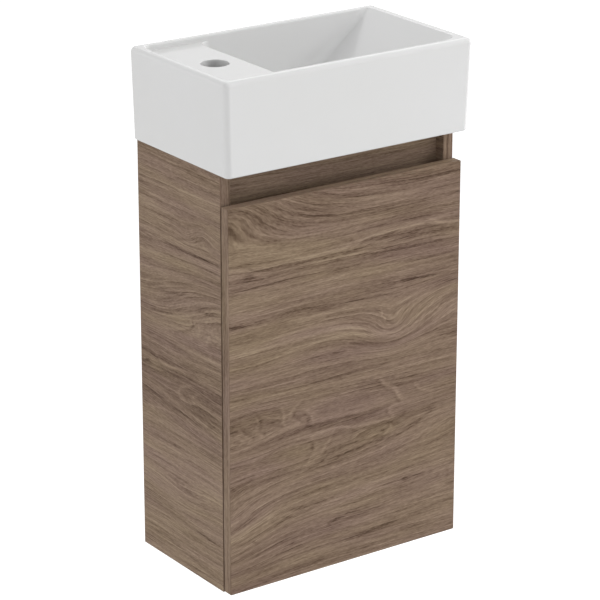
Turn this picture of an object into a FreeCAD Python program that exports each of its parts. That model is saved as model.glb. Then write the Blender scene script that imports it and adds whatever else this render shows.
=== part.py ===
import FreeCAD, Part
import math
import os

# A wall-hung vanity: a one-door cabinet that carries a ceramic basin with a tap ledge.
# Millimetres. The wall is the plane y = 0, the front looks to -y, z = 0 is the cabinet's underside
# and x = 0 its middle. The hinges are on the right (+x).

Vector = FreeCAD.Vector
LEFT = -1
RIGHT = 1

# Cabinet
cabinet_width = 352.0
cabinet_height = 548.0
carcass_depth = 184.0
board = 15.0
edge_round = 0.8
pull_slot = 40.0
pull_setback = 15.0
rail_height = 70.0
wall_space = 16.0

# Shelf
shelf_top = 215.0
shelf_setback = 14.0
shelf_end_gap = 0.8
shelf_rear_gap = 4.0
shelf_pin_inset = 22.0
shelf_pin_radius = 2.5
shelf_pin_depth = 8.0
shelf_pin_reach = 10.0
shelf_pin_width = 10.0

# Board joints
dowel_radius = 4.0
dowel_in_side = 9.0
dowel_in_board = 20.0
dowel_inset = 15.0
cam_radius = 7.5
cam_height = 11.5
cam_reach = 30.0
cam_inset = 15.0
cam_bolt_radius = 3.0
cam_bolt_in_side = 9.0
cam_slot_width = 1.6
cam_slot_depth = 2.0
fit = 0.05

# Door
door_thickness = 15.0
door_gap = 2.4
door_foot = 2.0
bumper_radius = 4.0
bumper_play = 0.3
bumper_inset = 20.0
bumper_below_top = 60.0

# Cup hinges
hinge_inset = 93.0
pivot_from_edge = 6.0
pivot_depth = 7.8
pivot_radius = 1.1
eye_radius = 1.8
neck_thickness = 2.2
neck_half_height = 2.4
neck_drop = 1.4
neck_reach = 13.5
cup_bore_radius = 17.5
cup_bore_depth = 11.8
cup_edge = 3.0
cup_wall = 0.7
cup_flange = 1.0
cup_flange_lap = 1.6
cup_wing_offset = 9.5
cup_wing_reach = 24.0
cup_wing_radius = 6.0
cup_boss_gap = 0.3
cup_boss_margin = 2.2
arm_length = 62.0
arm_width = 15.0
arm_rise = 12.0
arm_sheet = 1.2
arm_side_gap = 3.0
arm_nose = 6.0
arm_screw_places = (30.0, 50.0)
plate_base = 2.2
plate_setback = 37.0
plate_half_length = 20.0
plate_play = 0.3
plate_screw_half_pitch = 16.0
plate_wing_radius = 7.0

# Screws
screw_radius = 2.2
screw_head_radius = 4.0
screw_head_height = 1.8
screw_length = 11.0
cross_share = 0.6
cross_width = 1.0
cross_depth = 1.1
cup_screw_radius = 1.7
cup_screw_head_radius = 3.4
cup_screw_head_height = 1.0

# Hangers
hook_below_top = 46.0
hook_width = 10.0
hook_height = 7.0
hook_lip = 2.5
hook_lip_drop = 8.0
hook_wall_gap = 3.6
hook_play = 0.3
housing_width = 18.0
housing_length = 46.0
housing_below_hook = 22.0
housing_above_hook = 34.0
housing_front_wall = 4.0
housing_screw_inset = 9.0
housing_screw_drop = 7.0
adjuster_drop = 12.0
adjuster_rise = 16.0
adjuster_length = 20.0
wall_plate_thickness = 2.5
wall_plate_width = 28.0
wall_plate_side_gap = 1.0
wall_plate_foot = 75.0
wall_plate_flange = 11.0
wall_plate_standoff = 6.5
wall_hole_radius = 3.25
wall_hole_pitch = 25.0
wall_hole_margin = 14.0
slot_margin = 1.5
slot_lift = 10.0

# Basin
basin_width = 370.0
basin_depth = 210.0
basin_height = 119.0
basin_side_draft = 3.8
basin_front_draft = 2.0
basin_front_corner = 7.5
basin_rear_round = 4.5
rim_round = 6.5
rim_inner_round = 3.5
basin_foot_round = 2.5
rim_side = 13.0
rim_front = 12.5
rim_back = 9.0
ledge_drop = 7.5
ledge_width = 80.0
ledge_thickness = 11.0
ledge_edge_round = 1.5
bowl_floor = 25.0
bowl_corner = 18.0
bowl_fold_foot = 14.5
bowl_fold_head = 5.0
recess_corner = 12.0
bowl_ramp = 1.4
bowl_wall_draft = 0.11
bowl_left_draft = 0.12
bowl_floor_round = 14.0
ceramic = 10.0
foot_rim = 20.0
base_lap = 4.0
tap_hole_radius = 17.5
tap_from_edge = 36.0
tap_hole_round = 1.0
basin_bolt_inset = 45.0
basin_bolt_radius = 7.0
basin_bolt_height = 50.0

# Waste
drain_from_ledge = 74.0
drain_radius = 23.0
drain_boss_radius = 38.0
drain_boss = 5.0
waste_flange_radius = 31.5
waste_flange = 3.0
waste_flange_gap = 1.0
waste_tail_radius = 20.9
waste_tail_bore = 17.5
waste_tail_length = 66.0
waste_seal = 1.0
waste_gasket = 4.0
back_nut_radius = 32.0
back_nut_height = 12.0
back_nut_room = 3.0
spider_drop = 30.0
spider_height = 6.0
spider_bar = 5.0
cartridge_radius = 6.0
cartridge_length = 24.0
cartridge_rise = 8.0
stem_radius = 4.0
stem_end_gap = 3.0
stem_fit = 0.06
plug_radius = 29.0
plug_edge = 2.0
plug_dome = 3.0
plug_travel = 8.0
plug_seat_gap = 0.3

# Bottle trap
pipe_radius = 16.0
pipe_wall = 1.6
pipe_collar_radius = 20.5
pipe_collar = 3.0
trap_washer = 1.5
union_radius = 27.0
union_grip = 14.0
union_lip = 3.5
union_ribs = 16
union_rib_radius = 1.6
bottle_radius = 29.0
bottle_wall = 2.5
bottle_top_drop = 68.0
bottle_height = 86.0
bottle_neck_radius = 21.0
bottle_neck = 14.0
gland_radius = 26.0
gland_height = 18.0
gland_lip = 3.0
gland_seal = 3.0
dip_above_floor = 12.0
outlet_drop = 24.0
outlet_spigot_radius = 19.5
outlet_spigot = 22.0
outlet_insertion = 16.0
outlet_relief = 0.6
outlet_nut_radius = 24.0
outlet_nut_length = 18.0
outlet_seal = 3.0
trap_cup_wall = 2.5
trap_cup_lap = 16.0
trap_cup_depth = 30.0
trap_cup_seal = 2.0

# Places that follow from the sizes above
half_width = cabinet_width / 2
inner_x = half_width - board
carcass_front = -carcass_depth
door_back = carcass_front - door_gap
door_front = door_back - door_thickness
door_top = cabinet_height - pull_slot
rail_foot = cabinet_height - rail_height
handle_rail_front = carcass_front + pull_setback
rear_rail_back = -wall_space
rear_rail_front = rear_rail_back - board
hinge_heights = {"lower": door_foot + hinge_inset, "upper": door_top - hinge_inset}
pivot_x = half_width - pivot_from_edge
pivot_y = door_back - pivot_depth
cup_x = half_width - cup_edge - cup_bore_radius
arm_right = inner_x - arm_side_gap
arm_left = arm_right - arm_rise
hook_foot = cabinet_height - hook_below_top
basin_foot = cabinet_height
basin_top = basin_foot + basin_height
ledge_z = basin_top - ledge_drop
floor_z = basin_foot + bowl_floor
bowl_depth = basin_height - bowl_floor
opening_left = -basin_width / 2 + rim_side
opening_right = basin_width / 2 - rim_side
opening_front = -basin_depth + rim_front
opening_back = -rim_back
ledge_edge = opening_left + ledge_width
bowl_middle = (opening_front + opening_back) / 2
tap_x = ledge_edge - tap_from_edge
drain_x = ledge_edge + drain_from_ledge


def block(x_pair, y_pair, z_pair):
    """Box between two limits on each axis, given in either order."""
    low = Vector(min(x_pair), min(y_pair), min(z_pair))
    size = Vector(max(x_pair), max(y_pair), max(z_pair)) - low
    return Part.makeBox(size.x, size.y, size.z, low)


def rod(radius, start, end):
    """Round bar from one point to another."""
    return Part.makeCylinder(radius, (end - start).Length, start, end - start)


def tube(outer, inner, start, end):
    """Pipe from one point to another."""
    return rod(outer, start, end).cut(rod(inner, start, end))


def edges_where(solid, test):
    """The solid's edges whose middle point passes a test."""
    return [edge for edge in solid.Edges if test(edge.valueAt(middle_of(edge)))]


def middle_of(edge):
    """Parameter halfway along an edge."""
    return (edge.FirstParameter + edge.LastParameter) / 2


def near(value, target):
    """Whether two lengths agree."""
    return abs(value - target) < 1e-4


def eased(solid, test):
    """Break the edges of a board that pass a test."""
    return solid.makeFillet(edge_round, edges_where(solid, test))


def save(name, *solids):
    """Write one node, with each of its solids apart."""
    shape = solids[0] if len(solids) == 1 else Part.makeCompound(list(solids))
    shape.exportStep("parts/" + name + ".step")


def screw(seat, direction, radius, length, head_radius, head_height):
    """Pan-head screw with a cross recess. The head sits on the seat, the shank runs along direction."""
    along = Vector(direction).normalize()
    top = seat - along * head_height
    body = rod(head_radius, seat, top).fuse(rod(radius, seat, seat + along * length))
    body = body.removeSplitter()
    side = along.cross(Vector(0, 0, 1))
    up = side.cross(along)
    for first, second in ((side, up), (up, side)):
        reach = first * (head_radius * cross_share)
        half = second * (cross_width / 2)
        outline = [top - reach - half, top + reach - half, top + reach + half, top - reach + half]
        edge = Part.makePolygon(outline + outline[:1])
        body = body.cut(Part.Face(edge).extrude(along * cross_depth))
    return body


def board_screw(seat, direction, length=screw_length):
    """One of the screws that hold the fittings to the boards."""
    return screw(seat, direction, screw_radius, length, screw_head_radius, screw_head_height)


def frustum(low, high):
    """Block with sloping flat sides between two level rectangles (left, right, front, back, z)."""
    rings = []
    for left, right, front, back, z in (low, high):
        rings.append([Vector(left, front, z), Vector(right, front, z), Vector(right, back, z),
                      Vector(left, back, z)])
    faces = [rings[0][::-1], rings[1]]
    for index in range(4):
        after = (index + 1) % 4
        faces.append([rings[0][index], rings[0][after], rings[1][after], rings[1][index]])
    return Part.Solid(Part.Shell([Part.Face(Part.makePolygon(points + points[:1])) for points in faces]))


def upright_edges(solid, side_test):
    """Edges that climb from one level to another and pass a test on their middle point."""
    return [edge for edge in edges_where(solid, side_test)
            if abs(edge.Vertexes[0].Z - edge.Vertexes[-1].Z) > 1]


# Carcass joints: the board, the places of its dowels and cams on the end face (y, z),
# and the way the cam bores open.

handle_rail_middle = handle_rail_front + board / 2
rear_rail_middle = rear_rail_front + board / 2
board_joints = {
    "bottom_panel": (
        [(-dowel_inset * 2, board / 2), (carcass_front + dowel_inset * 2, board / 2)],
        [(carcass_front / 2, board / 2)],
        Vector(0, 0, -1),
    ),
    "handle_rail": (
        [(handle_rail_middle, cabinet_height - dowel_inset)],
        [(handle_rail_middle, rail_foot + cam_inset)],
        Vector(0, 1, 0),
    ),
    "rear_top_rail": (
        [(rear_rail_middle, cabinet_height - dowel_inset)],
        [(rear_rail_middle, rail_foot + cam_inset - cam_radius / 2)],
        Vector(0, -1, 0),
    ),
    "rear_bottom_rail": (
        [(rear_rail_middle, board + dowel_inset)],
        [(rear_rail_middle, board + rail_height - cam_inset)],
        Vector(0, -1, 0),
    ),
}


def joint_pieces():
    """Dowels, cam locks and cam bolts, with the holes they need in each board and side."""
    dowels = []
    cams = []
    bolts = []
    holes = {name: [] for name in list(board_joints) + ["left", "right"]}
    for name, (dowel_places, cam_places, opening) in board_joints.items():
        for side, side_name in ((LEFT, "left"), (RIGHT, "right")):
            for y, z in dowel_places:
                start = Vector(side * (inner_x + dowel_in_side), y, z)
                end = Vector(side * (inner_x - dowel_in_board), y, z)
                dowels.append(rod(dowel_radius, start, end))
                hole = rod(dowel_radius + fit, start, end)
                holes[name].append(hole)
                holes[side_name].append(hole)
            for y, z in cam_places:
                start = Vector(side * (inner_x + cam_bolt_in_side), y, z)
                middle = Vector(side * (inner_x - cam_reach), y, z)
                bolt = rod(cam_bolt_radius, start, middle)
                bolt_hole = rod(cam_bolt_radius + fit, start, middle)
                face = middle + opening * (board / 2)
                seat = face - opening * cam_height
                slot = block(
                    (face.x - cam_radius, face.x + cam_radius),
                    (face.y - cam_slot_width / 2, face.y + cam_slot_width / 2),
                    (face.z - cam_slot_width / 2, face.z + cam_slot_width / 2),
                )
                slot = slot.fuse(slot.translated(opening * (cam_slot_width / 2 - cam_slot_depth)))
                cams.append(rod(cam_radius, seat, face).cut(bolt_hole).cut(slot))
                bolts.append(bolt)
                holes[name] += [rod(cam_radius + fit, seat, face), bolt_hole]
                holes[side_name].append(bolt_hole)
    return dowels, cams, bolts, holes


def hinge_plate_screw_places(z):
    """Seats of the two screws of one mounting plate."""
    y = carcass_front + plate_setback
    x = inner_x - plate_base
    return [Vector(x, y, z + step) for step in (-plate_screw_half_pitch, plate_screw_half_pitch)]


def housing_screw_places(side):
    """Seats of the two screws of one hanger housing."""
    z = hook_foot + housing_above_hook - housing_screw_drop
    x = side * (inner_x - housing_width)
    rear = rear_rail_front - housing_screw_inset
    front = rear_rail_front - housing_length + housing_screw_inset
    return [Vector(x, rear, z), Vector(x, front, z)]


def shelf_pin_places(side):
    """Middle of each shelf pin where it leaves the side panel."""
    z = shelf_top - board - shelf_pin_radius
    front = carcass_front + shelf_setback + shelf_pin_inset
    rear = rear_rail_front - shelf_rear_gap - shelf_pin_inset
    return [Vector(side * inner_x, front, z), Vector(side * inner_x, rear, z)]


def side_panel(side, joint_holes):
    """One upright board of the carcass with its drillings."""
    panel = block((side * inner_x, side * half_width), (0, carcass_front), (0, cabinet_height))
    panel = eased(panel, lambda p: near(p.y, carcass_front) or (near(p.z, 0) and not near(p.y, 0)))
    holes = list(joint_holes)
    outward = Vector(side, 0, 0)
    for place in shelf_pin_places(side):
        holes.append(rod(shelf_pin_radius + fit, place, place + outward * shelf_pin_depth))
    for place in housing_screw_places(side):
        holes.append(rod(screw_radius + fit, place, place + outward * (housing_width + screw_length)))
    if side == RIGHT:
        for z in hinge_heights.values():
            for place in hinge_plate_screw_places(z):
                holes.append(rod(screw_radius + fit, place, place + outward * (plate_base + screw_length)))
    return panel.cut(holes)


def carcass_boards(holes):
    """Bottom panel and rails between the two sides."""
    across = (-inner_x, inner_x)
    bottom = block(across, (0, carcass_front), (0, board))
    bottom = eased(bottom, lambda p: near(p.y, carcass_front) and near(p.x, 0))
    handle_rail = block(across, (handle_rail_front, handle_rail_front + board), (rail_foot, cabinet_height))
    handle_rail = eased(handle_rail, lambda p: near(p.z, rail_foot) and near(p.x, 0))
    rear_top = block(across, (rear_rail_front, rear_rail_back), (rail_foot, cabinet_height))
    rear_top = eased(rear_top, lambda p: near(p.z, rail_foot) and near(p.x, 0))
    rear_bottom = block(across, (rear_rail_front, rear_rail_back), (board, board + rail_height))
    rear_bottom = eased(rear_bottom, lambda p: near(p.z, board + rail_height) and near(p.x, 0))
    hook_slots = []
    for side in (LEFT, RIGHT):
        middle = side * (inner_x - housing_width / 2)
        hook_slots.append(block(
            (middle - hook_width / 2 - slot_margin, middle + hook_width / 2 + slot_margin),
            (rear_rail_front, rear_rail_back),
            (hook_foot - slot_margin, hook_foot + hook_height + slot_lift),
        ))
    save("bottom_panel", bottom.cut(holes["bottom_panel"]))
    save("handle_rail", handle_rail.cut(holes["handle_rail"]))
    save("rear_top_rail", rear_top.cut(holes["rear_top_rail"] + hook_slots))
    save("rear_bottom_rail", rear_bottom.cut(holes["rear_bottom_rail"]))


def shelf_and_pins():
    """Loose shelf on four pins that plug into the sides."""
    half = inner_x - shelf_end_gap
    front = carcass_front + shelf_setback
    rear = rear_rail_front - shelf_rear_gap
    shelf = block((-half, half), (front, rear), (shelf_top - board, shelf_top))
    save("shelf", eased(shelf, lambda p: near(p.x, 0)))
    pins = []
    for side in (LEFT, RIGHT):
        for place in shelf_pin_places(side):
            peg = rod(shelf_pin_radius, place, place + Vector(side * shelf_pin_depth, 0, 0))
            seat = block(
                (place.x, place.x - side * shelf_pin_reach),
                (place.y - shelf_pin_width / 2, place.y + shelf_pin_width / 2),
                (place.z - shelf_pin_radius, place.z + shelf_pin_radius),
            )
            pins.append(seat.fuse(peg))
    save("shelf_pins", *pins)


def carcass():
    """The boards, what joins them, and the shelf."""
    dowels, cams, bolts, holes = joint_pieces()
    save("left_side_panel", side_panel(LEFT, holes["left"]))
    save("right_side_panel", side_panel(RIGHT, holes["right"]))
    carcass_boards(holes)
    save("carcass_dowels", *dowels)
    save("cam_locks", *cams)
    save("cam_bolts", *bolts)
    shelf_and_pins()


def hangers():
    """Housings on the sides, hooks through the rear rail, and plates for the wall."""
    adjusters = []
    housing_screws = []
    for side, name in ((LEFT, "left"), (RIGHT, "right")):
        middle = side * (inner_x - housing_width / 2)
        front = rear_rail_front - housing_length
        hook_top = hook_foot + hook_height
        bar_front = front + housing_front_wall
        housing = block(
            (side * inner_x, side * (inner_x - housing_width)),
            (rear_rail_front, front),
            (hook_foot - housing_below_hook, hook_foot + housing_above_hook),
        )
        housing = eased(housing, lambda p: near(p.y, front))
        tunnel = block(
            (middle - hook_width / 2 - hook_play, middle + hook_width / 2 + hook_play),
            (rear_rail_front, bar_front),
            (hook_foot - hook_play, hook_top + hook_play),
        )
        holes = [tunnel]
        for z in (hook_foot - adjuster_drop, hook_top + adjuster_rise - hook_height):
            seat = Vector(middle, front, z)
            holes.append(rod(screw_radius + fit, seat, seat + Vector(0, adjuster_length, 0)))
            adjusters.append(board_screw(seat, Vector(0, 1, 0), adjuster_length))
        for seat in housing_screw_places(side):
            outward = Vector(side, 0, 0)
            length = housing_width + screw_length
            holes.append(rod(screw_radius + fit, seat, seat + outward * length))
            housing_screws.append(board_screw(seat, outward, length))
        save(name + "_hanger_housing", housing.cut(holes))

        across_hook = (middle - hook_width / 2, middle + hook_width / 2)
        lip_back = -hook_wall_gap
        bar = block(across_hook, (bar_front, lip_back), (hook_foot, hook_top))
        lip = block(across_hook, (lip_back - hook_lip, lip_back), (hook_foot - hook_lip_drop, hook_top))
        save(name + "_hanger_hook", bar.fuse(lip).removeSplitter())

        plate_edge = inner_x - wall_plate_side_gap
        plate_middle = side * (plate_edge - wall_plate_width / 2)
        across_plate = (side * plate_edge, side * (plate_edge - wall_plate_width))
        flange_top = hook_foot
        flange_foot = flange_top - wall_plate_flange
        flange_front = -wall_plate_standoff - wall_plate_thickness
        back_sheet = (-wall_plate_thickness, 0)
        plate = block(across_plate, back_sheet, (flange_foot - wall_plate_foot, flange_foot))
        step = block(across_plate, (flange_front, 0), (flange_foot - wall_plate_thickness, flange_foot))
        flange = block(
            across_plate,
            (flange_front, -wall_plate_standoff),
            (flange_foot - wall_plate_thickness, flange_top),
        )
        plate = plate.fuse([step, flange]).removeSplitter()
        low_hole = flange_foot - wall_plate_foot + wall_hole_margin
        for z in (low_hole, low_hole + wall_hole_pitch):
            hole_start = Vector(plate_middle, -wall_plate_thickness, z)
            plate = plate.cut(rod(wall_hole_radius, hole_start, Vector(plate_middle, 0, z)))
        save(name + "_wall_plate", plate)
    save("hanger_adjusters", *adjusters)
    save("hanger_screws", *housing_screws)


def hinge_arm(z):
    """Sheet channel with the curved neck that reaches the pivot inside the cup."""
    front = carcass_front
    half = arm_width / 2
    channel = block((arm_left, arm_right), (front, front + arm_length), (z - half, z + half))
    hollow = block(
        (arm_left + arm_sheet, arm_right),
        (front + arm_nose, front + arm_length),
        (z - half + arm_sheet, z + half - arm_sheet),
    )
    heights = (z - neck_half_height, z + neck_half_height)
    neck_y = pivot_y - neck_drop
    neck_x = pivot_x - neck_reach
    half_neck = neck_thickness / 2
    level = block((neck_x - half_neck, pivot_x), (neck_y - half_neck, neck_y + half_neck), heights)
    upright = block((neck_x - half_neck, neck_x + half_neck), (neck_y - half_neck, front + arm_nose), heights)
    neck = level.fuse(upright).removeSplitter()
    bend = edges_where(neck, lambda p: near(p.x, neck_x - half_neck) and near(p.y, neck_y - half_neck))
    neck = neck.makeFillet(half_neck, bend)
    low = Vector(pivot_x, pivot_y, heights[0])
    high = Vector(pivot_x, pivot_y, heights[1])
    arm = channel.cut(hollow).fuse([neck, rod(eye_radius, low, high)])
    holes = [rod(pivot_radius + fit, low, high)]
    for place in arm_screw_places:
        start = Vector(arm_left, front + place, z)
        holes.append(rod(screw_radius + fit, start, start + Vector(arm_sheet, 0, 0)))
    return arm.cut(holes).removeSplitter()


def hinge_plate(z):
    """Plate on the side panel with a rib that the arm sits on."""
    y = carcass_front + plate_setback
    base_x = (inner_x - plate_base, inner_x)
    half = arm_width / 2 - arm_sheet - plate_play
    middle_y = (y - plate_half_length, y + plate_half_length)
    base = block(base_x, middle_y, (z - half, z + half))
    rib = block((arm_left + arm_sheet + plate_play, inner_x - plate_base), middle_y, (z - half, z + half))
    pieces = [rib]
    holes = []
    for seat in hinge_plate_screw_places(z):
        foot = Vector(inner_x, y, seat.z)
        pieces.append(rod(plate_wing_radius, seat, foot))
        pieces.append(block(base_x, (y - plate_wing_radius, y + plate_wing_radius), (z, seat.z)))
        holes.append(rod(screw_radius + fit, seat, foot))
    for place in arm_screw_places:
        start = Vector(arm_left, carcass_front + place, z)
        holes.append(rod(screw_radius + fit, start, start + Vector(arm_sheet + screw_length, 0, 0)))
    return base.fuse(pieces).cut(holes).removeSplitter()


def cup_screw_places(z):
    """Seats of the two screws of one hinge cup, on the flange."""
    x = cup_x - cup_wing_offset
    y = door_back + cup_flange
    return [Vector(x, y, z - cup_wing_reach), Vector(x, y, z + cup_wing_reach)]


def hinge_cup(z):
    """Pressed cup with a winged flange and two bosses for the pivot pin."""
    mouth = Vector(cup_x, door_back, z)
    lip = Vector(cup_x, door_back + cup_flange, z)
    floor = Vector(cup_x, door_back - cup_bore_depth + fit, z)
    outer = cup_bore_radius - fit
    inner = outer - cup_wall
    cup = rod(outer, floor, mouth)
    flange = [rod(outer + cup_flange_lap, mouth, lip)]
    holes = []
    for seat in cup_screw_places(z):
        foot = Vector(seat.x, door_back, seat.z)
        flange.append(rod(cup_wing_radius, foot, seat))
        flange.append(block(
            (seat.x - cup_wing_radius, seat.x + cup_wing_radius),
            (door_back, door_back + cup_flange),
            (z, seat.z),
        ))
        holes.append(rod(cup_screw_radius + fit, foot, seat))
    hollow_floor = floor + Vector(0, cup_wall, 0)
    hollow = rod(inner, hollow_floor, lip)
    cup = cup.fuse(flange).cut(hollow)
    boss_x = (pivot_x - cup_boss_margin, pivot_x + cup_boss_margin * 2)
    boss_y = (hollow_floor.y - cup_wall / 2, pivot_y + cup_boss_margin)
    bosses = []
    for way in (-1, 1):
        boss_z = (z + way * (neck_half_height + cup_boss_gap), z + way * cup_bore_radius)
        bosses.append(block(boss_x, boss_y, boss_z).common(rod(outer - cup_wall / 2, floor, lip)))
    cup = cup.fuse(bosses)
    pin_half = pivot_pin_half()
    pin_low = Vector(pivot_x, pivot_y, z - pin_half)
    pin_high = Vector(pivot_x, pivot_y, z + pin_half)
    holes.append(rod(pivot_radius + fit / 2, pin_low, pin_high))
    return cup.cut(holes).removeSplitter()


def pivot_pin_half():
    """Half the length of a pivot pin, which ends inside the cup's wall."""
    from_middle = pivot_x - cup_x
    inner = cup_bore_radius - cup_wall
    return math.sqrt(inner ** 2 - (from_middle + pivot_radius) ** 2) - fit


def hinges():
    """Both cup hinges with their screws and pins."""
    plate_screws = []
    arm_screws = []
    cup_screws = []
    pins = []
    for name, z in hinge_heights.items():
        save(name + "_hinge_arm", hinge_arm(z))
        save(name + "_hinge_plate", hinge_plate(z))
        save(name + "_hinge_cup", hinge_cup(z))
        for seat in hinge_plate_screw_places(z):
            plate_screws.append(board_screw(seat, Vector(1, 0, 0), plate_base + screw_length))
        for place in arm_screw_places:
            seat = Vector(arm_left, carcass_front + place, z)
            arm_screws.append(board_screw(seat, Vector(1, 0, 0), arm_sheet + screw_length))
        for seat in cup_screw_places(z):
            cup_screws.append(screw(
                seat, Vector(0, -1, 0), cup_screw_radius, cup_flange + screw_length,
                cup_screw_head_radius, cup_screw_head_height,
            ))
        half = pivot_pin_half()
        pins.append(rod(pivot_radius, Vector(pivot_x, pivot_y, z - half), Vector(pivot_x, pivot_y, z + half)))
    save("hinge_plate_screws", *plate_screws)
    save("hinge_arm_screws", *arm_screws)
    save("hinge_cup_screws", *cup_screws)
    save("hinge_pivot_pins", *pins)


def door():
    """Door panel with the bores for its hinge cups, and two bumpers."""
    panel = block((-half_width, half_width), (door_back, door_front), (door_foot, door_top))
    panel = eased(panel, lambda p: True)
    holes = []
    for z in hinge_heights.values():
        mouth = Vector(cup_x, door_back, z)
        holes.append(rod(cup_bore_radius, mouth, mouth - Vector(0, cup_bore_depth, 0)))
        for seat in cup_screw_places(z):
            end = seat - Vector(0, cup_flange + screw_length, 0)
            holes.append(rod(cup_screw_radius + fit, seat, end))
    save("door_panel", panel.cut(holes))
    bumpers = []
    for z in (door_foot + bumper_inset, door_top - bumper_below_top):
        start = Vector(-half_width + board / 2, door_back, z)
        end = start + Vector(0, door_gap - bumper_play, 0)
        bumpers.append(rod(bumper_radius, start, end))
    save("door_bumpers", *bumpers)


def bowl_level(depth, left, right):
    """Inside of the bowl at a depth under the rim, between a left and a right end."""
    inset = bowl_wall_draft * depth
    return left, right, opening_front + inset, opening_back - inset, basin_top - depth


def bowl_hollow():
    """What the basin is open to from above: the recess over the tap ledge, and the bowl."""
    recess = frustum(
        bowl_level(ledge_drop, opening_left, drain_x),
        bowl_level(-rim_round, opening_left, drain_x),
    )
    recess = recess.makeFillet(recess_corner, upright_edges(recess, lambda p: p.x < ledge_edge))
    levels = []
    for depth in (bowl_depth, -rim_round):
        left = ledge_edge + bowl_left_draft * (depth - ledge_drop)
        levels.append(bowl_level(depth, left, opening_right - bowl_ramp * depth))
    bowl = frustum(*levels)
    fold = upright_edges(bowl, lambda p: p.x > drain_x and p.y > bowl_middle)
    bowl = bowl.makeFillet(bowl_fold_foot, bowl_fold_head, fold)
    corners = upright_edges(bowl, lambda p: p.x < drain_x or p.y < bowl_middle)
    bowl = bowl.makeFillet(bowl_corner, corners)
    bowl = bowl.makeFillet(bowl_floor_round, edges_where(bowl, lambda p: near(p.z, floor_z)))
    return recess.fuse(bowl).removeSplitter()


def basin_underside():
    """Space under the ceramic, around the bowl."""
    left = -basin_width / 2 + basin_side_draft + foot_rim
    front = -basin_depth + basin_front_draft + foot_rim
    space = block((left, -left), (front, -foot_rim), (basin_foot + ceramic, ledge_z - ledge_thickness))
    space = space.makeFillet(recess_corner, upright_edges(space, lambda p: True))
    mouth = block(
        (-inner_x + base_lap, inner_x - base_lap),
        (handle_rail_front + board + base_lap, rear_rail_front - base_lap),
        (basin_foot, basin_foot + ceramic),
    )
    mouth = mouth.makeFillet(recess_corner, upright_edges(mouth, lambda p: True))
    nut_hole = rod(back_nut_radius + back_nut_room, at_drain(basin_foot), at_drain(basin_foot + ceramic))
    space = space.fuse([mouth, nut_hole]).removeSplitter()
    ramp_wall = ceramic * math.sqrt(1 + bowl_ramp ** 2)
    levels = []
    for depth in (bowl_depth + ceramic, -rim_round):
        right = opening_right + ramp_wall - bowl_ramp * depth
        levels.append((ledge_edge - ceramic, right, -basin_depth, 0, basin_top - depth))
    return space.cut(frustum(*levels))


def basin():
    """Ceramic basin: drafted block, bowl, tap ledge, hollow underside and its holes."""
    half = basin_width / 2
    foot_half = half - basin_side_draft
    foot_front = -basin_depth + basin_front_draft
    body = frustum(
        (-foot_half, foot_half, foot_front, 0, basin_foot),
        (-half, half, -basin_depth, 0, basin_top),
    )
    middle = -basin_depth / 2
    body = body.makeFillet(basin_front_corner, upright_edges(body, lambda p: p.y < middle))
    body = body.makeFillet(rim_round, edges_where(body, lambda p: near(p.z, basin_top) and not near(p.y, 0)))
    rear = edges_where(body, lambda p: near(p.y, 0) and not near(p.z, basin_foot))
    body = body.makeFillet(basin_rear_round, rear)
    body = body.makeFillet(basin_foot_round, edges_where(body, lambda p: near(p.z, basin_foot)))
    body = body.cut(bowl_hollow()).cut(basin_underside())
    boss_top = floor_z - ceramic + fit
    drain_low = Vector(drain_x, bowl_middle, floor_z - ceramic - drain_boss)
    body = body.fuse(rod(drain_boss_radius, drain_low, Vector(drain_x, bowl_middle, boss_top)))
    recess_depth = waste_flange + waste_seal
    drain_top = Vector(drain_x, bowl_middle, floor_z)
    holes = [
        rod(drain_radius, drain_low, drain_top),
        rod(waste_flange_radius + waste_flange_gap, drain_top - Vector(0, 0, recess_depth), drain_top),
        rod(tap_hole_radius, Vector(tap_x, bowl_middle, ledge_z - ledge_thickness),
            Vector(tap_x, bowl_middle, ledge_z)),
    ]
    for side in (LEFT, RIGHT):
        start = Vector(side * (half - basin_bolt_inset), 0, basin_foot + basin_bolt_height)
        holes.append(rod(basin_bolt_radius, start, start - Vector(0, foot_rim, 0)))
    body = body.cut(holes).removeSplitter()
    rim = edges_where(body, lambda p: near(p.z, basin_top) and opening_left - 1 < p.x < opening_right + 1
                      and opening_front - 1 < p.y < opening_back + 1)
    body = body.makeFillet(rim_inner_round, rim)
    tap_edge = edges_where(body, lambda p: near(p.z, ledge_z) and abs(math.hypot(
        p.x - tap_x, p.y - bowl_middle) - tap_hole_radius) < 1e-3)
    body = body.makeFillet(tap_hole_round, tap_edge)
    ledge_end = edges_where(body, lambda p: near(p.z, ledge_z) and near(p.x, ledge_edge))
    save("basin", body.makeFillet(ledge_edge_round, ledge_end))


def at_drain(z):
    """Point on the drain's axis."""
    return Vector(drain_x, bowl_middle, z)


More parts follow.
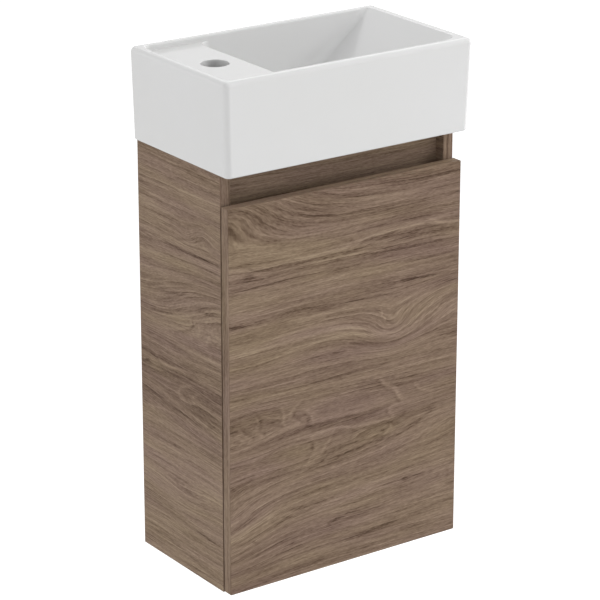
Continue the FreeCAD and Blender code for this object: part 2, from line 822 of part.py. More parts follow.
def waste():
    """Push waste: body, seals, back nut, cartridge and plug. The plug is drawn open."""
    flange_top = floor_z
    flange_foot = flange_top - waste_flange
    tail_foot = flange_foot - waste_tail_length
    spider_top = flange_top - spider_drop
    spider_foot = spider_top - spider_height
    body = rod(waste_flange_radius, at_drain(flange_foot), at_drain(flange_top))
    body = body.fuse(rod(waste_tail_radius, at_drain(tail_foot), at_drain(flange_foot)))
    body = body.cut(rod(waste_tail_bore, at_drain(tail_foot), at_drain(flange_top)))
    bar = block(
        (drain_x - waste_tail_bore - fit, drain_x + waste_tail_bore + fit),
        (bowl_middle - spider_bar / 2, bowl_middle + spider_bar / 2),
        (spider_foot, spider_top),
    )
    hub = rod(cartridge_radius + spider_bar / 2, at_drain(spider_foot), at_drain(spider_top))
    body = body.fuse([bar, hub])
    body = body.cut(rod(cartridge_radius + fit, at_drain(spider_foot), at_drain(spider_top)))
    save("waste_body", body.removeSplitter())

    seat = flange_foot - waste_seal
    save("waste_upper_seal", tube(waste_flange_radius, drain_radius, at_drain(seat), at_drain(flange_foot)))
    gasket_top = floor_z - ceramic - drain_boss
    nut_top = gasket_top - waste_gasket
    tail_hole = waste_tail_radius + fit
    save("waste_gasket", tube(back_nut_radius, tail_hole, at_drain(nut_top), at_drain(gasket_top)))
    nut = hexagon(back_nut_radius, nut_top - back_nut_height, nut_top)
    nut = nut.cut(rod(tail_hole, at_drain(nut_top - back_nut_height), at_drain(nut_top)))
    save("waste_back_nut", nut)

    cartridge_top = spider_top + cartridge_rise
    cartridge_foot = cartridge_top - cartridge_length
    cartridge = rod(cartridge_radius, at_drain(cartridge_foot), at_drain(cartridge_top))
    bore = stem_radius + stem_fit
    cartridge = cartridge.cut(rod(bore, at_drain(cartridge_foot + stem_end_gap), at_drain(cartridge_top)))
    save("waste_cartridge", cartridge)

    cap_foot = flange_top + plug_travel + plug_seat_gap
    cap_edge = cap_foot + plug_edge
    stem_foot = cartridge_foot + stem_end_gap * 2 + plug_travel
    cap = rod(plug_radius, at_drain(cap_foot), at_drain(cap_edge))
    sphere_radius = (plug_radius ** 2 + plug_dome ** 2) / (2 * plug_dome)
    ball = Part.makeSphere(sphere_radius, at_drain(cap_edge + plug_dome - sphere_radius))
    dome = ball.common(rod(plug_radius, at_drain(cap_edge), at_drain(cap_edge + plug_dome)))
    stem = rod(stem_radius, at_drain(stem_foot), at_drain(cap_foot))
    save("waste_plug", cap.fuse([dome, stem]).removeSplitter())


def hexagon(across_corners_radius, low, high):
    """Six-sided nut blank on the drain's axis."""
    points = []
    for index in range(7):
        angle = math.radians(60 * index)
        points.append(at_drain(low) + Vector(math.cos(angle), math.sin(angle), 0) * across_corners_radius)
    return Part.Face(Part.makePolygon(points)).extrude(Vector(0, 0, high - low))


def ribbed(radius, start, end):
    """Hand nut blank with grip ribs."""
    body = rod(radius - union_rib_radius / 2, start, end)
    along = (end - start).normalize()
    side = along.cross(Vector(1, 0, 0)).normalize()
    other = along.cross(side)
    ribs = []
    for index in range(union_ribs):
        angle = math.radians(360 / union_ribs * index)
        reach = side * math.cos(angle) + other * math.sin(angle)
        shift = reach * (radius - union_rib_radius)
        ribs.append(rod(union_rib_radius, start + shift, end + shift))
    return body.fuse(ribs)


def trap():
    """Bottle trap between the waste and the wall."""
    tail_foot = floor_z - waste_flange - waste_tail_length
    collar_top = tail_foot - trap_washer
    collar_foot = collar_top - pipe_collar
    nut_top = tail_foot + union_grip
    nut_foot = collar_foot - union_lip
    nut = ribbed(union_radius, at_drain(nut_foot), at_drain(nut_top))
    nut = nut.cut([
        rod(waste_tail_radius + fit, at_drain(collar_foot), at_drain(nut_top)),
        rod(pipe_radius + fit, at_drain(nut_foot), at_drain(collar_foot)),
    ])
    save("trap_inlet_nut", nut)
    washer = tube(pipe_collar_radius, waste_tail_bore, at_drain(collar_top), at_drain(tail_foot))
    save("trap_inlet_washer", washer)

    bottle_top = nut_foot - bottle_top_drop
    bottle_foot = bottle_top - bottle_height
    pipe_foot = bottle_foot + dip_above_floor
    pipe = rod(pipe_radius, at_drain(pipe_foot), at_drain(collar_top))
    pipe = pipe.fuse(rod(pipe_collar_radius, at_drain(collar_foot), at_drain(collar_top)))
    pipe = pipe.cut(rod(pipe_radius - pipe_wall, at_drain(pipe_foot), at_drain(collar_top)))
    save("trap_inlet_pipe", pipe)

    neck_top = bottle_top + bottle_neck
    outlet_z = bottle_top - outlet_drop
    spigot_end = bowl_middle + bottle_radius + outlet_spigot
    body = rod(bottle_radius, at_drain(bottle_foot), at_drain(bottle_top))
    body = body.fuse(rod(bottle_neck_radius, at_drain(bottle_top), at_drain(neck_top)))
    axis_start = at_drain(outlet_z)
    axis_end = Vector(drain_x, spigot_end, outlet_z)
    body = body.fuse(rod(outlet_spigot_radius, axis_start, axis_end))
    chamber = rod(bottle_radius - bottle_wall, at_drain(bottle_foot), at_drain(bottle_top - bottle_wall))
    body = body.cut([
        chamber,
        rod(pipe_radius + fit, at_drain(bottle_top - bottle_wall), at_drain(neck_top)),
        rod(pipe_radius - outlet_relief + fit, axis_start, axis_end),
    ])
    save("trap_body", body.removeSplitter())

    seal_top = neck_top + gland_seal
    save("trap_gland_seal", tube(bottle_neck_radius, pipe_radius + fit, at_drain(neck_top), at_drain(seal_top)))
    gland_top = seal_top + gland_lip
    gland_foot = gland_top - gland_height
    gland = ribbed(gland_radius, at_drain(gland_foot), at_drain(gland_top))
    gland = gland.cut([
        rod(bottle_neck_radius + fit, at_drain(gland_foot), at_drain(seal_top)),
        rod(pipe_radius + fit, at_drain(seal_top), at_drain(gland_top)),
    ])
    save("trap_gland_nut", gland)

    cup_radius = bottle_radius + fit + trap_cup_wall
    cup_top = bottle_foot + trap_cup_lap
    seal_foot = bottle_foot - trap_cup_seal
    cup_foot = seal_foot - trap_cup_depth
    cup = ribbed(cup_radius, at_drain(cup_foot), at_drain(cup_top))
    cup = cup.cut([
        rod(bottle_radius + fit, at_drain(seal_foot), at_drain(cup_top)),
        rod(bottle_radius - bottle_wall, at_drain(cup_foot + trap_cup_wall), at_drain(seal_foot)),
    ])
    save("trap_cup", cup)
    save("trap_cup_seal", tube(
        bottle_radius, bottle_radius - bottle_wall, at_drain(seal_foot), at_drain(bottle_foot)))

    pipe_start = Vector(drain_x, spigot_end - outlet_insertion, outlet_z)
    wall_end = Vector(drain_x, 0, outlet_z)
    seal_end = Vector(drain_x, spigot_end + outlet_seal, outlet_z)
    nut_end = seal_end + Vector(0, gland_lip, 0)
    outlet_pipe = rod(pipe_radius, nut_end, wall_end)
    spigot_radius = pipe_radius - outlet_relief
    outlet_pipe = outlet_pipe.fuse(rod(spigot_radius, pipe_start, nut_end))
    outlet_pipe = outlet_pipe.cut(rod(pipe_radius - pipe_wall, pipe_start, wall_end))
    save("trap_outlet_pipe", outlet_pipe)
    save("trap_outlet_seal", tube(outlet_spigot_radius, spigot_radius + fit, axis_end, seal_end))
    nut_start = nut_end - Vector(0, outlet_nut_length, 0)
    outlet_nut = ribbed(outlet_nut_radius, nut_start, nut_end)
    outlet_nut = outlet_nut.cut([
        rod(outlet_spigot_radius + fit, nut_start, seal_end),
        rod(pipe_radius + fit, seal_end, nut_end),
    ])
    save("trap_outlet_nut", outlet_nut)


os.makedirs("parts", exist_ok=True)
carcass()
hangers()
hinges()
door()
basin()
waste()
trap()
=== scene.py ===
import bpy
import math
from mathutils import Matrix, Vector

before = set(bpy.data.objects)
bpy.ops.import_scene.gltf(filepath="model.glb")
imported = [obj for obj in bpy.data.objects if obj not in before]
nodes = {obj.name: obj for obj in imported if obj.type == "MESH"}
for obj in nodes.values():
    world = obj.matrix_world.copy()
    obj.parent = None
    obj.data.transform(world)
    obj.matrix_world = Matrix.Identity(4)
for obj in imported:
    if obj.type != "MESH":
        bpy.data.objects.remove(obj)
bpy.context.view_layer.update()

# Where the photograph was taken from, and the studio around the unit: metres, degrees and watts, and the
# lens in millimetres. Glossy pieces mirror the cards, and the lamps only give light.
CAMERA_PLACE = (-1.9589, -2.8804, 1.5582)
CAMERA_TURN = (70.118, -0.033, -35.158)
CAMERA_LENS = 170.76
FLOOR_Z = -0.45
FLOOR_SPREAD = 40.0
FLOOR_WHITE = 0.85
FLOOR_GLOW_NEAR = 0.40
FLOOR_GLOW_FAR = 0.66
FLOOR_GLOW_START = 0.35
FLOOR_GLOW_END = 6.0
SKY_STRENGTH = 0.48
LAMP_AIM = (0.0, -0.1, 0.35)
LAMP_DISTANCE = 4.0
LAMP_SIZE = 2.5
LAMPS = {
    "left_lamp": {"way": (-0.90, 0.25, 0.35), "power": 39.5},
    "upper_lamp": {"way": (0.70, -0.35, 0.62), "power": 100.0},
    "low_left_lamp": {"way": (-0.36, -0.90, -0.12), "power": 29.0},
    "low_right_lamp": {"way": (0.40, -0.90, -0.12), "power": 13.0},
    "rear_lamp": {"way": (-0.30, 0.60, 0.74), "power": 6.5},
    "glint_card": {"way": (0.54, 0.54, 0.65), "power": 26.0, "mirrored": True},
    "rim_card": {"way": (-0.33, 0.77, 0.54), "power": 75.0, "size": 6.0, "mirrored": True},
}

# The grain maps are written in millimetres. The edges and ends of a board are printed in strips of their
# own, shifted away from the wide face, and a face looks along an axis from EDGE_FACING on.
MM = 1000.0
EDGE_FACING = 0.7
EDGE_STRIP = 5000.0
END_STRIP = 7000.0
STROKE_REACH = 0.62

# How far the grain lines sway, ripple, tremble and run ragged, in millimetres, and the slant of the jags.
SWAY_REACH = 5.0
RIPPLE_REACH = 1.2
TREMOR_ALONG = -4.0
TREMOR_ACROSS = 1.5
TONGUE_REACH = 18.0
JAG_REACH = 24.0
JAG_SLANT = 0.8
FLAME_TOP = 1.6

# The walnut print: the step of its growth lines in millimetres, how many steps they wander, how dark and
# light their sides are and how sharp, and the levels that the streaks and the fibres start from.
GROWTH_STEP = 7.0
GROWTH_WANDER = 3.0
DARK_SIDE = 0.26
DARK_SHARPNESS = 3.0
LIGHT_SIDE = -0.24
LIGHT_SHARPNESS = 7.0
STREAK_LEVEL = -0.88
FIBRE_LEVEL = -0.11
PRINT_ROUGHNESS = 0.55

# Relief of the finishes, with its depth in metres, the sheen of the laminate, and how much finer the
# speckle is than its clouds of tone.
LAMINATE_RELIEF = 0.2
LAMINATE_DEPTH = 0.0001
LAMINATE_SHEEN = 0.05
GLAZE_RELIEF = 0.04
GLAZE_DEPTH = 0.0006
METAL_DEPTH = 0.00008
MOULDED_DEPTH = 0.0001
BEECH_RELIEF = 0.4
BEECH_DEPTH = 0.0002
CLOUD_SCALE = (0.06, 0.06, 0.06)

# A Mix node goes by numbers, because its kinds share their socket names: first, second and outlet.
MIX_SOCKETS = {"VECTOR": (4, 5, 1), "RGBA": (6, 7, 2)}


def screen(red, green, blue):
    """A colour given as on a screen, in 0 to 255, as the linear colour that a shader takes."""
    def linear(value):
        share = value / 255
        return share / 12.92 if share <= 0.04045 else ((share + 0.055) / 1.055) ** 2.4
    return linear(red), linear(green), linear(blue), 1.0


def feed(tree, socket, value):
    """Link another node's output to a socket, or set the socket."""
    if isinstance(value, bpy.types.NodeSocket):
        tree.links.new(value, socket)
    else:
        socket.default_value = value


def add(tree, kind, inputs=None, **settings):
    """A new node with its settings and its inputs."""
    node = tree.nodes.new(kind)
    for name, value in settings.items():
        setattr(node, name, value)
    for name, value in (inputs or {}).items():
        feed(tree, node.inputs[name], value)
    return node


def sums(tree, operation, *values, clamp=False):
    """One step of arithmetic on numbers."""
    node = add(tree, "ShaderNodeMath", dict(enumerate(values)), operation=operation, use_clamp=clamp)
    return node.outputs[0]


def vectors(tree, operation, *values):
    """One step of arithmetic on vectors."""
    node = add(tree, "ShaderNodeVectorMath", dict(enumerate(values)), operation=operation)
    return node.outputs["Value"] if operation in ("DOT_PRODUCT", "LENGTH") else node.outputs["Vector"]


def noise(tree, place, detail, roughness=0.5):
    """Soft cloudy value from 0 to 1."""
    inputs = {"Vector": place, "Scale": 1.0, "Detail": detail, "Roughness": roughness}
    return add(tree, "ShaderNodeTexNoise", inputs).outputs[0]


def stretched_noise(tree, place, along, across, detail, roughness=0.5):
    """Noise drawn out along the grain, with its length and width in millimetres."""
    stretched = vectors(tree, "MULTIPLY", place, (1 / along, 1 / across, 1.0))
    return noise(tree, stretched, detail, roughness)


def spread(tree, value, low, high, new_low, new_high):
    """A value moved from one range to another."""
    inputs = {"Value": value, "From Min": low, "From Max": high, "To Min": new_low, "To Max": new_high}
    return add(tree, "ShaderNodeMapRange", inputs).outputs["Result"]


def swing(tree, value, reach):
    """A value from 0 to 1 as a shift to either side."""
    return spread(tree, value, 0.0, 1.0, -reach, reach)


def mix(tree, kind, share, first, second, way="MIX"):
    """Two vectors or colours mixed."""
    one, other, outlet = MIX_SOCKETS[kind]
    inputs = {0: share, one: first, other: second}
    return add(tree, "ShaderNodeMix", inputs, data_type=kind, blend_type=way).outputs[outlet]


def ramp(tree, value, stops):
    """Colours along a value from 0 to 1."""
    node = add(tree, "ShaderNodeValToRGB", {"Fac": value})
    elements = node.color_ramp.elements
    while len(elements) < len(stops):
        elements.new(1.0)
    for element, (place, colour) in zip(elements, stops):
        element.position = place
        element.color = colour
    return node.outputs["Color"]


def new_group(name, inputs, outputs):
    """An empty shader node group with its sockets. Returns the tree, its inputs and its outlet."""
    tree = bpy.data.node_groups.new(name, "ShaderNodeTree")
    for socket_name, kind in inputs:
        tree.interface.new_socket(socket_name, in_out="INPUT", socket_type="NodeSocket" + kind)
    for socket_name, kind in outputs:
        tree.interface.new_socket(socket_name, in_out="OUTPUT", socket_type="NodeSocket" + kind)
    return tree, tree.nodes.new("NodeGroupInput").outputs, tree.nodes.new("NodeGroupOutput").inputs


def place_group(tree, group, inputs):
    """One use of a node group."""
    return add(tree, "ShaderNodeGroup", inputs, node_tree=group).outputs


def soft_spot_group():
    """Adds an amount to a running total around one place, fading to nothing outside a turned oval. Tilt
    adds more on one long side of the oval and less on the other."""
    tree, given, out = new_group(
        "soft_spot",
        [("Place", "Vector"), ("Centre", "Vector"), ("Size", "Vector"), ("Turn", "Float"),
         ("Amount", "Float"), ("Tilt", "Float"), ("Total", "Float")],
        [("Total", "Float")],
    )
    turned = add(tree, "ShaderNodeVectorRotate", {
        "Vector": given["Place"],
        "Center": given["Centre"],
        "Angle": sums(tree, "MULTIPLY", given["Turn"], -1.0),
    }, rotation_type="Z_AXIS").outputs[0]
    away = vectors(tree, "DIVIDE", vectors(tree, "SUBTRACT", turned, given["Centre"]), given["Size"])
    squared = vectors(tree, "DOT_PRODUCT", away, away)
    fade = sums(tree, "EXPONENT", sums(tree, "MULTIPLY", squared, -1.0))
    side = vectors(tree, "DOT_PRODUCT", away, (0.0, 1.0, 0.0))
    amount = sums(tree, "MULTIPLY_ADD", side, given["Tilt"], given["Amount"])
    feed(tree, out["Total"], sums(tree, "MULTIPLY_ADD", fade, amount, given["Total"]))
    return tree


def walnut_group():
    """Printed walnut. Place follows the figure of the grain and Fibres only its main run, both in
    millimetres. Figure brings out the growth lines, Plain takes the streaks away, Marks draws dark flecks,
    Darkness lowers the tone and Warmth turns it from mauve to golden."""
    tree, given, out = new_group(
        "walnut_print",
        [("Place", "Vector"), ("Fibres", "Vector"), ("Figure", "Float"), ("Plain", "Float"),
         ("Marks", "Float"), ("Darkness", "Float"), ("Warmth", "Float")],
        [("Color", "Color"), ("Roughness", "Float"), ("Height", "Float")],
    )

    def grain(source, along, across, detail):
        """Noise of the print, with its length and width in millimetres."""
        return stretched_noise(tree, given[source], along, across, detail, PRINT_ROUGHNESS)

    patches = grain("Place", 240, 30, 1.0)
    streaks = grain("Place", 170, 6, 2.0)
    lines = grain("Place", 70, 2.2, 2.0)
    hairs = grain("Fibres", 22, 1.1, 2.0)
    dashes = grain("Fibres", 6, 0.8, 1.0)
    across = add(tree, "ShaderNodeSeparateXYZ", {0: given["Place"]}).outputs["Y"]
    wander = grain("Place", 340, 26, 1.0)
    steps = sums(tree, "MULTIPLY", across, 1 / GROWTH_STEP)
    phase = sums(tree, "FRACT", sums(tree, "MULTIPLY_ADD", wander, GROWTH_WANDER, steps))
    dark_side = sums(tree, "MULTIPLY", sums(tree, "POWER", phase, DARK_SHARPNESS), DARK_SIDE)
    light_side = sums(tree, "POWER", sums(tree, "SUBTRACT", 1.0, phase), LIGHT_SHARPNESS)
    ring = sums(tree, "MULTIPLY_ADD", light_side, LIGHT_SIDE, dark_side)
    boldness = spread(tree, grain("Place", 130, 10, 1.0), 0.42, 0.72, 0.0, 0.9)
    ring = sums(tree, "MULTIPLY", ring, sums(tree, "MAXIMUM", boldness, given["Figure"]))
    tone = STREAK_LEVEL
    for part, share in ((patches, 0.50), (streaks, 0.64), (lines, 0.62)):
        tone = sums(tree, "MULTIPLY_ADD", part, share, tone)
    shown = sums(tree, "SUBTRACT", 1.0, given["Plain"], clamp=True)
    tone = sums(tree, "MULTIPLY_ADD", tone, shown, FIBRE_LEVEL)
    for part, share in ((hairs, 0.66), (dashes, 0.65)):
        tone = sums(tree, "MULTIPLY_ADD", part, share, tone)
    tone = sums(tree, "SUBTRACT", sums(tree, "SUBTRACT", tone, ring), given["Darkness"])
    ragged = spread(tree, sums(tree, "ADD", lines, hairs), 0.75, 1.25, 0.25, -0.25)
    fleck = spread(tree, sums(tree, "ADD", given["Marks"], ragged), 0.25, 0.90, 0.0, 0.28)
    tone = sums(tree, "SUBTRACT", tone, fleck)
    colour = ramp(tree, tone, (
        (0.00, screen(70, 53, 43)),
        (0.25, screen(102, 83, 70)),
        (0.50, screen(129, 109, 94)),
        (0.75, screen(147, 127, 110)),
        (1.00, screen(164, 144, 125)),
    ))
    warmth = sums(tree, "ADD", grain("Place", 180, 24, 1.0), given["Warmth"])
    tint = ramp(tree, warmth, ((0.25, (1.0, 0.978, 1.025, 1.0)), (0.75, (1.0, 1.017, 0.93, 1.0))))
    feed(tree, out["Color"], mix(tree, "RGBA", 1.0, colour, tint, "MULTIPLY"))
    feed(tree, out["Roughness"], spread(tree, lines, 0.25, 0.75, 0.58, 0.48))
    feed(tree, out["Height"], sums(tree, "ADD", dashes, hairs))
    return tree


def speckle_group():
    """Fine uneven tone and height of a moulded, plated or cast surface. Size is in millimetres."""
    tree, given, out = new_group(
        "fine_speckle",
        [("Place", "Vector"), ("Size", "Float")],
        [("Tone", "Float"), ("Height", "Float")],
    )
    inputs = {0: given["Place"], "Scale": sums(tree, "DIVIDE", 1.0, given["Size"])}
    grain = add(tree, "ShaderNodeVectorMath", inputs, operation="SCALE").outputs["Vector"]
    clouds = vectors(tree, "MULTIPLY", grain, CLOUD_SCALE)
    feed(tree, out["Height"], noise(tree, grain, detail=3.0, roughness=0.6))
    feed(tree, out["Tone"], noise(tree, clouds, detail=3.0))
    return tree


soft_spot = soft_spot_group()
walnut_print = walnut_group()
fine_speckle = speckle_group()


def new_material(name):
    """A material with a Principled shader. Returns the material, its tree and the shader."""
    material = bpy.data.materials.new(name)
    material.use_nodes = True
    tree = material.node_tree
    return material, tree, tree.nodes["Principled BSDF"]


def object_place(tree):
    """Place on the piece in millimetres."""
    metres = add(tree, "ShaderNodeTexCoord").outputs["Object"]
    return vectors(tree, "MULTIPLY", metres, (MM, MM, MM))


def bump(tree, shader, height, strength, distance):
    """Relief from a height."""
    node = add(tree, "ShaderNodeBump", {"Height": height, "Strength": strength, "Distance": distance})
    feed(tree, shader.inputs["Normal"], node.outputs["Normal"])


def spots(tree, place, total, marks):
    """A running total with one soft spot for each mark: along, across, half length, half width, amount,
    and where they aren't 0, the turn in degrees and the tilt."""
    for along, across, half_length, half_width, amount, *shape in marks:
        turn, tilt = (*shape, 0.0, 0.0)[:2]
        outputs = place_group(tree, soft_spot, {
            "Place": place, "Centre": (along, across, 0.0), "Size": (half_length, half_width, 1.0),
            "Turn": math.radians(turn), "Amount": amount, "Tilt": tilt, "Total": total,
        })
        total = outputs["Total"]
    return total


def strokes(tree, place, total, lines):
    """A running total with lines drawn in it: half width, amount, tilt, and the points that the line runs
    through. The tilt adds on the left of the run and takes away on its right."""
    marks = []
    for half_width, amount, tilt, *points in lines:
        for start, end in zip(points, points[1:]):
            run = Vector(end) - Vector(start)
            middle = (Vector(start) + Vector(end)) / 2
            slope = math.degrees(math.atan2(run.y, run.x))
            half_length = run.length * STROKE_REACH
            marks.append((middle.x, middle.y, half_length, half_width, amount, slope, tilt))
    return spots(tree, place, total, marks)


# How the boards lie: the way that the wide face, the long edge and the end look, each with the axes that
# run along and across its grain.
LYING = {
    "door": (("Y", "X", "Z"), ("X", "Z", "Y"), ("Z", "X", "Y")),
    "side": (("X", "Y", "Z"), ("Y", "Z", "X"), ("Z", "Y", "X")),
    "shelf": (("Z", "X", "Y"), ("Y", "X", "Z"), ("X", "Y", "Z")),
}


def board_place(tree, lying):
    """Place along and across the grain of a board, with its edges and ends in strips of their own."""
    axes = add(tree, "ShaderNodeSeparateXYZ", {0: object_place(tree)}).outputs
    normal = add(tree, "ShaderNodeTexCoord").outputs["Normal"]
    facing = add(tree, "ShaderNodeSeparateXYZ", {0: vectors(tree, "ABSOLUTE", normal)}).outputs
    strips = []
    for (axis, along, across), shift in zip(LYING[lying], (0.0, EDGE_STRIP, END_STRIP)):
        inputs = {"X": axes[along], "Y": sums(tree, "ADD", axes[across], shift)}
        strips.append((axis, add(tree, "ShaderNodeCombineXYZ", inputs).outputs[0]))
    chosen = strips[2][1]
    for axis, strip in (strips[1], strips[0]):
        faces = sums(tree, "GREATER_THAN", facing[axis], EDGE_FACING)
        chosen = mix(tree, "VECTOR", faces, chosen, strip)
    return chosen


def wild_grain(tree, place, seeded, axes, rise, flames):
    """Lift of the grain lines with flames in it, and how far the growth lines stand out. A flame (along,
    across, half length, half width, share, wildness, rings) levels the grain by its share, so that it shows
    an even tone with lines crowded round it, and makes the lines run ragged by its wildness."""
    figure = 0.0
    wildness = 0.0
    for along, middle, half_length, half_width, share, wild, rings in flames:
        mask = spots(tree, place, 0.0, ((along, middle, half_length, half_width, 1.0),))
        flat_top = sums(tree, "MULTIPLY", mask, FLAME_TOP, clamp=True)
        level = sums(tree, "MULTIPLY", sums(tree, "SUBTRACT", axes["Y"], middle), share)
        rise = sums(tree, "MULTIPLY_ADD", flat_top, level, rise)
        figure = sums(tree, "MULTIPLY_ADD", mask, rings, figure)
        wildness = sums(tree, "MULTIPLY_ADD", mask, wild, wildness)
    tongues = stretched_noise(tree, seeded, along=110, across=28, detail=1.0)
    slant = sums(tree, "MULTIPLY_ADD", axes["Y"], JAG_SLANT, axes["X"])
    slanted = add(tree, "ShaderNodeCombineXYZ", {"X": slant, "Y": axes["Y"]}).outputs[0]
    jags = stretched_noise(tree, slanted, along=34, across=55, detail=2.0, roughness=0.35)
    wander = sums(tree, "ADD", swing(tree, tongues, TONGUE_REACH), swing(tree, jags, JAG_REACH))
    return sums(tree, "MULTIPLY_ADD", wildness, wander, rise), figure


def walnut_board(name, lying, seed, swells=(), flames=(), plain=(), lines=(), flecks=(), zones=(),
                 warmth=()):
    """Walnut laminate for one board. Swells lift the grain lines, flames make them run ragged and plain
    spots have few. Lines, flecks and zones darken the print, or lighten it where negative, and warmth
    gilds it."""
    material, tree, shader = new_material(name)
    place = board_place(tree, lying)
    axes = add(tree, "ShaderNodeSeparateXYZ", {0: place}).outputs
    seeded = vectors(tree, "ADD", place, (0.0, 0.0, seed))
    sway = stretched_noise(tree, seeded, along=190, across=60, detail=1.0)
    ripple = stretched_noise(tree, seeded, along=45, across=11, detail=2.0)
    tremor = stretched_noise(tree, seeded, along=8, across=4, detail=1.0)
    ripple = swing(tree, ripple, RIPPLE_REACH)
    rise = sums(tree, "ADD", swing(tree, sway, SWAY_REACH), ripple)
    rise = spots(tree, place, rise, swells)
    calm = sums(tree, "SUBTRACT", axes["Y"], rise)
    rise, figure = wild_grain(tree, place, seeded, axes, rise, flames)
    grain = sums(tree, "SUBTRACT", axes["Y"], rise)
    shaken_along = sums(tree, "ADD", axes["X"], swing(tree, tremor, TREMOR_ALONG))
    rippled = sums(tree, "ADD", axes["Y"], ripple)
    shaken_across = sums(tree, "ADD", rippled, swing(tree, tremor, TREMOR_ACROSS))
    drawn = add(tree, "ShaderNodeCombineXYZ", {"X": shaken_along, "Y": shaken_across}).outputs[0]
    printed = place_group(tree, walnut_print, {
        "Place": add(tree, "ShaderNodeCombineXYZ", {"X": axes["X"], "Y": grain, "Z": seed}).outputs[0],
        "Fibres": add(tree, "ShaderNodeCombineXYZ", {"X": axes["X"], "Y": calm, "Z": seed}).outputs[0],
        "Figure": figure,
        "Plain": spots(tree, place, 0.0, plain),
        "Marks": spots(tree, drawn, 0.0, flecks),
        "Darkness": strokes(tree, drawn, spots(tree, place, 0.0, zones), lines),
        "Warmth": spots(tree, place, 0.0, warmth),
    })
    feed(tree, shader.inputs["Base Color"], printed["Color"])
    feed(tree, shader.inputs["Roughness"], printed["Roughness"])
    shader.inputs["Specular IOR Level"].default_value = LAMINATE_SHEEN
    bump(tree, shader, printed["Height"], LAMINATE_RELIEF, LAMINATE_DEPTH)
    return material


def ceramic():
    """White glaze with a faint unevenness."""
    material, tree, shader = new_material("white_glaze")
    speckle = place_group(tree, fine_speckle, {"Place": object_place(tree), "Size": 14.0})
    colour = ramp(tree, speckle["Tone"], ((0.35, screen(221, 221, 220)), (0.65, screen(223, 223, 223))))
    feed(tree, shader.inputs["Base Color"], colour)
    feed(tree, shader.inputs["Roughness"], spread(tree, speckle["Height"], 0.2, 0.8, 0.10, 0.16))
    bump(tree, shader, speckle["Height"], GLAZE_RELIEF, GLAZE_DEPTH)
    return material


def metal(name, dark, light, size, rough_low, rough_high, relief):
    """Plated, cast or polished metal."""
    material, tree, shader = new_material(name)
    speckle = place_group(tree, fine_speckle, {"Place": object_place(tree), "Size": size})
    roughness = spread(tree, speckle["Tone"], 0.3, 0.7, rough_low, rough_high)
    feed(tree, shader.inputs["Base Color"], ramp(tree, speckle["Tone"], ((0.3, dark), (0.7, light))))
    feed(tree, shader.inputs["Roughness"], roughness)
    shader.inputs["Metallic"].default_value = 1.0
    bump(tree, shader, speckle["Height"], relief, METAL_DEPTH)
    return material


def moulded(name, dark, light, size, rough_low, rough_high, relief, specular=0.5, clear=0.0):
    """Moulded plastic or rubber."""
    material, tree, shader = new_material(name)
    speckle = place_group(tree, fine_speckle, {"Place": object_place(tree), "Size": size})
    roughness = spread(tree, speckle["Height"], 0.2, 0.8, rough_low, rough_high)
    feed(tree, shader.inputs["Base Color"], ramp(tree, speckle["Tone"], ((0.3, dark), (0.7, light))))
    feed(tree, shader.inputs["Roughness"], roughness)
    shader.inputs["Specular IOR Level"].default_value = specular
    shader.inputs["Transmission Weight"].default_value = clear
    bump(tree, shader, speckle["Height"], relief, MOULDED_DEPTH)
    return material


def beech():
    """Bare turned beech with its flecks along the dowel."""
    material, tree, shader = new_material("beech")
    drawn_out = vectors(tree, "MULTIPLY", object_place(tree), (0.25, 2.4, 2.4))
    flecks = noise(tree, drawn_out, detail=3.0, roughness=0.6)
    colour = ramp(tree, flecks, (
        (0.3, screen(184, 148, 108)),
        (0.5, screen(208, 174, 132)),
        (0.7, screen(220, 190, 150)),
    ))
    feed(tree, shader.inputs["Base Color"], colour)
    feed(tree, shader.inputs["Roughness"], spread(tree, flecks, 0.3, 0.7, 0.72, 0.6))
    bump(tree, shader, flecks, BEECH_RELIEF, BEECH_DEPTH)
    return material


